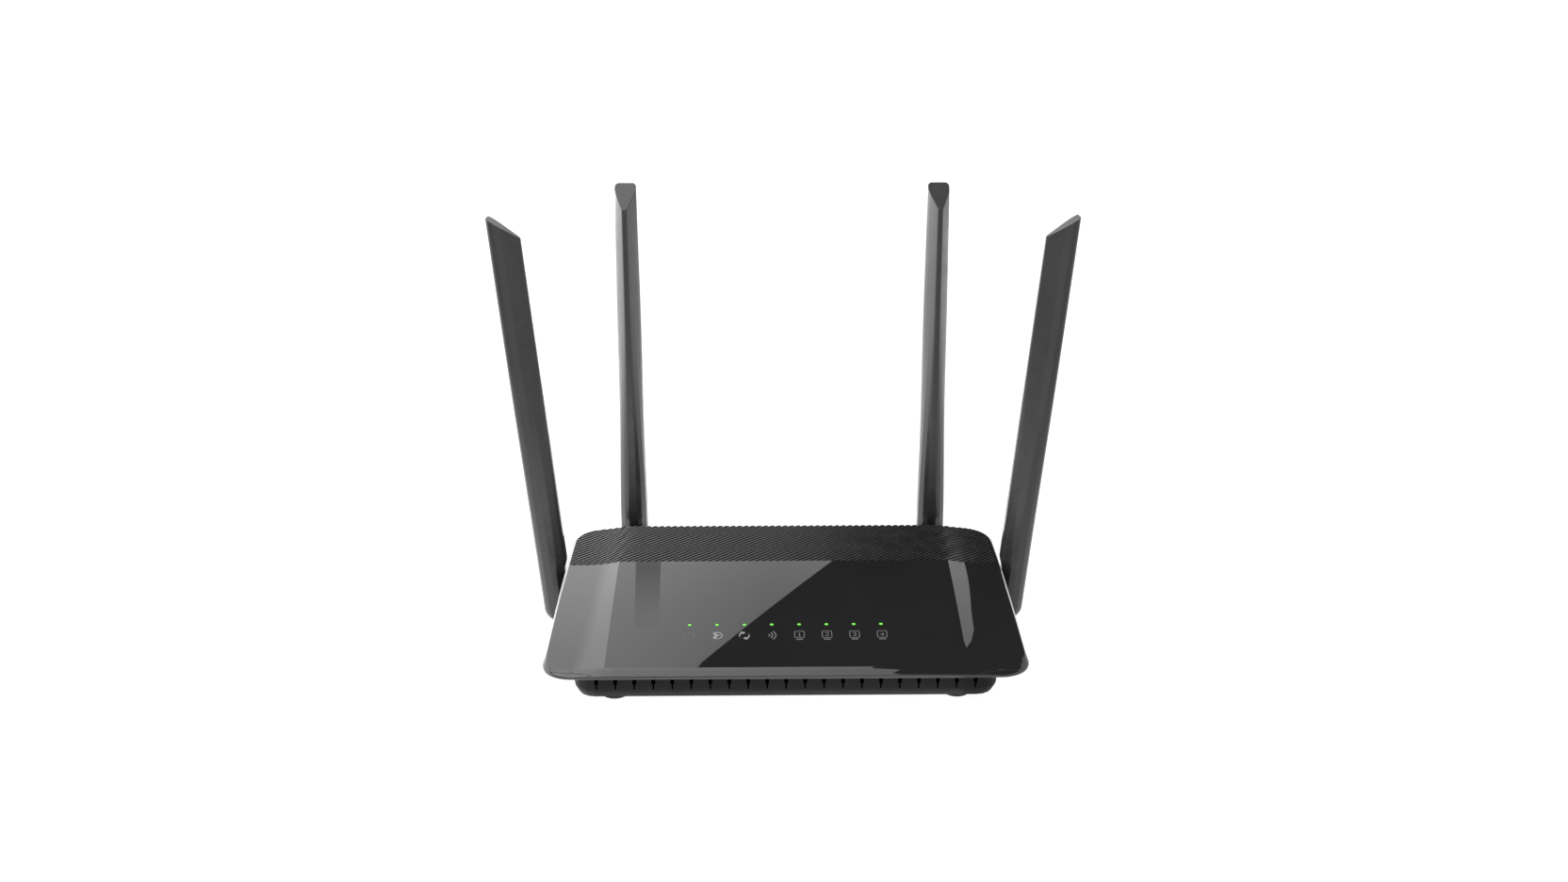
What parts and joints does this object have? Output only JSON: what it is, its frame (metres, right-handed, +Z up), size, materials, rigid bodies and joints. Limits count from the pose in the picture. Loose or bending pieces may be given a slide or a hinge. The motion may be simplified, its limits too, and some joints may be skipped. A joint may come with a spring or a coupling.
{
  "type": "wireless router",
  "caption": "Low wedge-shaped wireless router with an overhanging glossy cover, a ribbed rear band, a row of status lights and folding, turning blade antennas.",
  "frame": {"origin": "under the middle of the bounding box, on the surface that the feet stand on", "axes": "+X to the right as seen from the front, +Y from the lights to the ports, +Z up"},
  "size_m": [0.24, 0.1332, 0.1861],
  "materials": {
    "gloss_black": "polished black moulded plastic",
    "rib_black": "fine diagonal ribs, satin",
    "case_black": "fine moulded texture",
    "antenna_black": "fine moulded texture",
    "rubber": "soft matte",
    "label": "blank film",
    "light_guide": "clear acrylic, lit green",
    "board_green": "solder mask",
    "tin_plate": "tin plate",
    "steel": "zinc plated",
    "aluminium": "extruded",
    "jack_yellow": "moulded",
    "jack_black": "moulded",
    "part_black": "moulded",
    "button_grey": "satin",
    "copper": "copper strip",
    "cable_grey": "jacketed coax"
  },
  "bodies": {
    "case": {"bottom_case": "case_black", "top_cover": "gloss_black", "ribbed_insert": "rib_black", "rear_panel": "case_black", "light_guide": "light_guide", "bottom_label": "label", "main_board": "board_green", "foot_1": "rubber", "foot_2": "rubber", "foot_3": "rubber", "foot_4": "rubber", "case_screw_1": "steel", "case_screw_2": "steel", "case_screw_3": "steel", "case_screw_4": "steel", "board_screw_1": "steel", "board_screw_2": "steel", "wan_jack": "jack_yellow", "lan_jack_1": "jack_black", "lan_jack_2": "jack_black", "lan_jack_3": "jack_black", "lan_jack_4": "jack_black", "power_jack": "part_black", "power_switch": "part_black", "wps_switch": "part_black", "reset_switch": "part_black", "heat_sink": "aluminium", "radio_shield_left": "tin_plate", "radio_shield_right": "tin_plate", "lan_transformer": "part_black", "wan_transformer": "part_black", "capacitor": "aluminium", "rear_left_coax": "cable_grey", "rear_right_coax": "cable_grey", "side_left_coax": "cable_grey", "side_right_coax": "cable_grey"},
    "rear_left_base": {"rear_left_swivel": "antenna_black", "rear_left_retainer": "steel", "rear_left_hinge_pin": "steel"},
    "rear_left_antenna": {"rear_left_blade": "antenna_black", "rear_left_radiator": "copper"},
    "rear_right_base": {"rear_right_swivel": "antenna_black", "rear_right_retainer": "steel", "rear_right_hinge_pin": "steel"},
    "rear_right_antenna": {"rear_right_blade": "antenna_black", "rear_right_radiator": "copper"},
    "side_left_base": {"side_left_swivel": "antenna_black", "side_left_retainer": "steel", "side_left_hinge_pin": "steel"},
    "side_left_antenna": {"side_left_blade": "antenna_black", "side_left_radiator": "copper"},
    "side_right_base": {"side_right_swivel": "antenna_black", "side_right_retainer": "steel", "side_right_hinge_pin": "steel"},
    "side_right_antenna": {"side_right_blade": "antenna_black", "side_right_radiator": "copper"},
    "power_button": {"power_button": "button_grey"},
    "wps_button": {"wps_button": "button_grey"},
    "reset_plunger": {"reset_plunger": "button_grey"}
  },
  "joints": [
    {"name": "rear_left_turn", "type": "hinge", "parent": "case", "child": "rear_left_base", "pos_m": [-0.0676, 0.06037, 0.0141], "axis": [0, 1, 0], "range_deg": [-90, 40]},
    {"name": "rear_right_turn", "type": "hinge", "parent": "case", "child": "rear_right_base", "pos_m": [0.0676, 0.06037, 0.0141], "axis": [0, -1, 0], "range_deg": [-90, 40]},
    {"name": "side_left_turn", "type": "hinge", "parent": "case", "child": "side_left_base", "pos_m": [-0.0978, 0.01638, 0.0099], "axis": [-1, 0, 0], "range_deg": [-20, 90]},
    {"name": "side_right_turn", "type": "hinge", "parent": "case", "child": "side_right_base", "pos_m": [0.0978, 0.01638, 0.0099], "axis": [-1, 0, 0], "range_deg": [-20, 90]},
    {"name": "rear_left_fold", "type": "hinge", "parent": "rear_left_base", "child": "rear_left_antenna", "pos_m": [-0.0676, 0.06037, 0.0141], "axis": [-1, 0, 0], "range_deg": [0, 90]},
    {"name": "rear_right_fold", "type": "hinge", "parent": "rear_right_base", "child": "rear_right_antenna", "pos_m": [0.0676, 0.06037, 0.0141], "axis": [-1, 0, 0], "range_deg": [0, 90]},
    {"name": "side_left_fold", "type": "hinge", "parent": "side_left_base", "child": "side_left_antenna", "pos_m": [-0.0978, 0.01638, 0.0099], "axis": [0, -1, 0], "range_deg": [0, 84.6]},
    {"name": "side_right_fold", "type": "hinge", "parent": "side_right_base", "child": "side_right_antenna", "pos_m": [0.0978, 0.01638, 0.0099], "axis": [0, 1, 0], "range_deg": [0, 84.6]},
    {"name": "power_button_press", "type": "slide", "parent": "case", "child": "power_button", "axis": [0, -1, 0], "range_m": [0, 0.002], "stiffness_N_per_m": 700},
    {"name": "wps_button_press", "type": "slide", "parent": "case", "child": "wps_button", "axis": [0, -1, 0], "range_m": [0, 0.0007], "stiffness_N_per_m": 2000},
    {"name": "reset_plunger_press", "type": "slide", "parent": "case", "child": "reset_plunger", "axis": [0, -1, 0], "range_m": [0, 0.0005], "stiffness_N_per_m": 3000}
  ]
}
